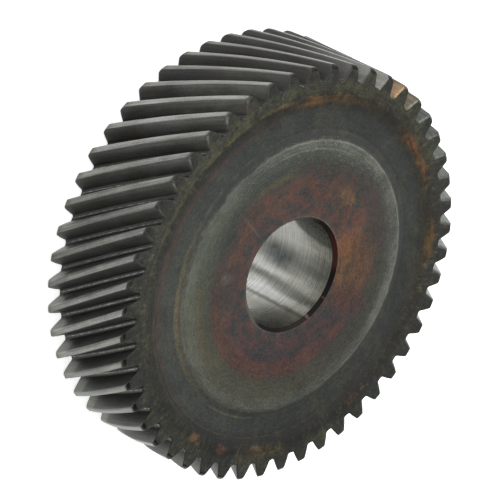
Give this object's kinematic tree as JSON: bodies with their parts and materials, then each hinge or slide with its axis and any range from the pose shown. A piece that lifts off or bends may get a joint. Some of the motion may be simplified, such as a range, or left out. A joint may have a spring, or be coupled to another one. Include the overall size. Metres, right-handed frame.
{
  "type": "helical gear",
  "caption": "Steel helical gear with a plain chamfered bore, raised and slightly dished hub faces and a shallow sunk web ring, pressed on a shaft to carry torque from a mating pinion.",
  "frame": {"origin": "centre of the bore in the plane of the back hub ring", "axes": "+Z along the bore axis, out of the front face; the middle of one tooth lies on +X where the teeth end at the front"},
  "size_m": [0.0594, 0.0594, 0.0159],
  "materials": {
    "gear_steel": "dark oxide skin with heat tint and rust on the faces, bare worn tips and a bright ground bore"
  },
  "bodies": {
    "root": {"helical_gear": "gear_steel"}
  },
  "joints": []
}
